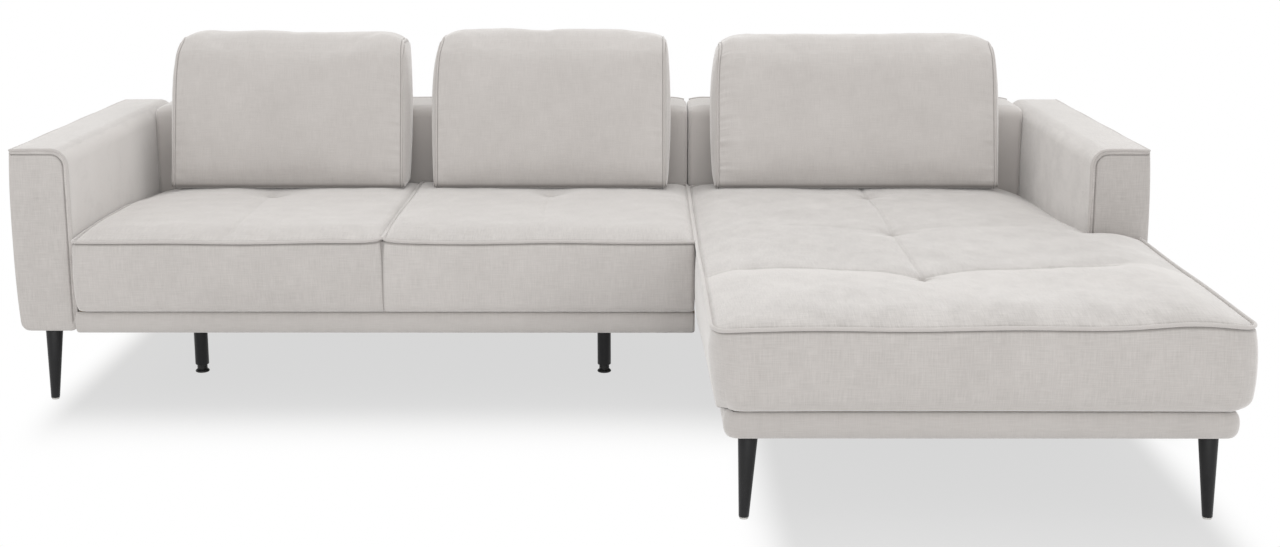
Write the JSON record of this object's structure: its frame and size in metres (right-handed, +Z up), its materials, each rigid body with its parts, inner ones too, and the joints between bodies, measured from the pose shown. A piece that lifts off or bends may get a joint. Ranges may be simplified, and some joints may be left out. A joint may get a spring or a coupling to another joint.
{
  "type": "corner sofa",
  "caption": "Fabric corner sofa: seating section with one arm beside a chaise with the other arm, low back, loose back cushions, seats with folds and tufts, tapered metal legs.",
  "frame": {"origin": "on the floor, at the middle of the plan box of the whole sofa", "axes": "+X to the right of someone who looks at the sofa, +Y from the chaise's front to the back, +Z up"},
  "size_m": [2.74, 1.75, 0.8453],
  "materials": {
    "upholstery_fabric": "fine flat weave with a short soft nap, light warm grey",
    "dust_cloth": "thin black non-woven cloth",
    "frame_timber": "planed softwood and plywood, unfinished",
    "spring_steel": "drawn spring wire",
    "zinc_steel": "zinc plated",
    "black_leg_metal": "satin black powder coat",
    "black_plastic": "matte black moulded plastic",
    "pale_glide_plastic": "pale grey glide"
  },
  "bodies": {
    "frame": {"left_arm_cover": "upholstery_fabric", "right_arm_cover": "upholstery_fabric", "sofa_back_cover": "upholstery_fabric", "chaise_back_cover": "upholstery_fabric", "left_arm_frame": "frame_timber", "right_arm_frame": "frame_timber", "sofa_back_frame": "frame_timber", "chaise_back_frame": "frame_timber", "left_seat_cushion": "upholstery_fabric", "middle_seat_cushion": "upholstery_fabric", "chaise_cushion": "upholstery_fabric", "sofa_border": "upholstery_fabric", "chaise_front_border": "upholstery_fabric", "chaise_left_border": "upholstery_fabric", "chaise_right_border": "upholstery_fabric", "sofa_dust_cover": "dust_cloth", "chaise_front_dust_cover": "dust_cloth", "chaise_rear_dust_cover": "dust_cloth", "sofa_front_rail": "frame_timber", "sofa_rear_rail": "frame_timber", "sofa_left_rail": "frame_timber", "sofa_right_rail": "frame_timber", "sofa_cross_rail_left": "frame_timber", "sofa_cross_rail_right": "frame_timber", "chaise_front_rail": "frame_timber", "chaise_rear_rail": "frame_timber", "chaise_left_rail": "frame_timber", "chaise_outer_rail": "frame_timber", "chaise_cross_rail": "frame_timber", "chaise_inner_rail": "frame_timber", "sofa_spring_1": "spring_steel", "sofa_spring_2": "spring_steel", "sofa_spring_3": "spring_steel", "sofa_spring_4": "spring_steel", "chaise_spring_1": "spring_steel", "chaise_spring_2": "spring_steel", "chaise_spring_3": "spring_steel", "chaise_spring_4": "spring_steel", "left_arm_leg": "black_leg_metal", "chaise_left_leg": "black_leg_metal", "chaise_right_leg": "black_leg_metal", "left_arm_glide": "pale_glide_plastic", "chaise_left_glide": "pale_glide_plastic", "chaise_right_glide": "pale_glide_plastic", "sofa_rear_left_leg": "black_plastic", "sofa_rear_right_leg": "black_plastic", "chaise_rear_left_leg": "black_plastic", "chaise_rear_right_leg": "black_plastic", "support_leg_left": "black_plastic", "support_leg_right": "black_plastic", "link_plate": "zinc_steel", "link_screw_sofa": "zinc_steel", "link_screw_chaise": "zinc_steel"},
    "left_cushion": {"left_back_cushion": "upholstery_fabric"},
    "middle_cushion": {"middle_back_cushion": "upholstery_fabric"},
    "right_cushion": {"right_back_cushion": "upholstery_fabric"},
    "left_stem": {"support_stem_left": "black_plastic"},
    "left_pad": {"support_pad_left": "black_plastic"},
    "right_stem": {"support_stem_right": "black_plastic"},
    "right_pad": {"support_pad_right": "black_plastic"}
  },
  "joints": [
    {"name": "left_cushion_lift", "type": "slide", "parent": "frame", "child": "left_cushion", "axis": [0, 0, 1], "range_m": [0, 0.22]},
    {"name": "middle_cushion_lift", "type": "slide", "parent": "frame", "child": "middle_cushion", "axis": [0, 0, 1], "range_m": [0, 0.22]},
    {"name": "right_cushion_lift", "type": "slide", "parent": "frame", "child": "right_cushion", "axis": [0, 0, 1], "range_m": [0, 0.22]},
    {"name": "left_stem_travel", "type": "slide", "parent": "frame", "child": "left_stem", "axis": [0, 0, -1], "range_m": [0, 0.0121]},
    {"name": "left_pad_turn", "type": "hinge", "parent": "left_stem", "child": "left_pad", "pos_m": [-1.002, 0.202, 0], "axis": [0, 0, -1], "range_deg": [0, 2880]},
    {"name": "right_stem_travel", "type": "slide", "parent": "frame", "child": "right_stem", "axis": [0, 0, -1], "range_m": [0, 0.0121]},
    {"name": "right_pad_turn", "type": "hinge", "parent": "right_stem", "child": "right_pad", "pos_m": [0.052, 0.202, 0], "axis": [0, 0, -1], "range_deg": [0, 2880]}
  ],
  "couplings": [
    {"joint": "left_stem_travel", "follows": "left_pad_turn", "m_per_rad": 0.00023873},
    {"joint": "right_stem_travel", "follows": "right_pad_turn", "m_per_rad": 0.00023873}
  ]
}
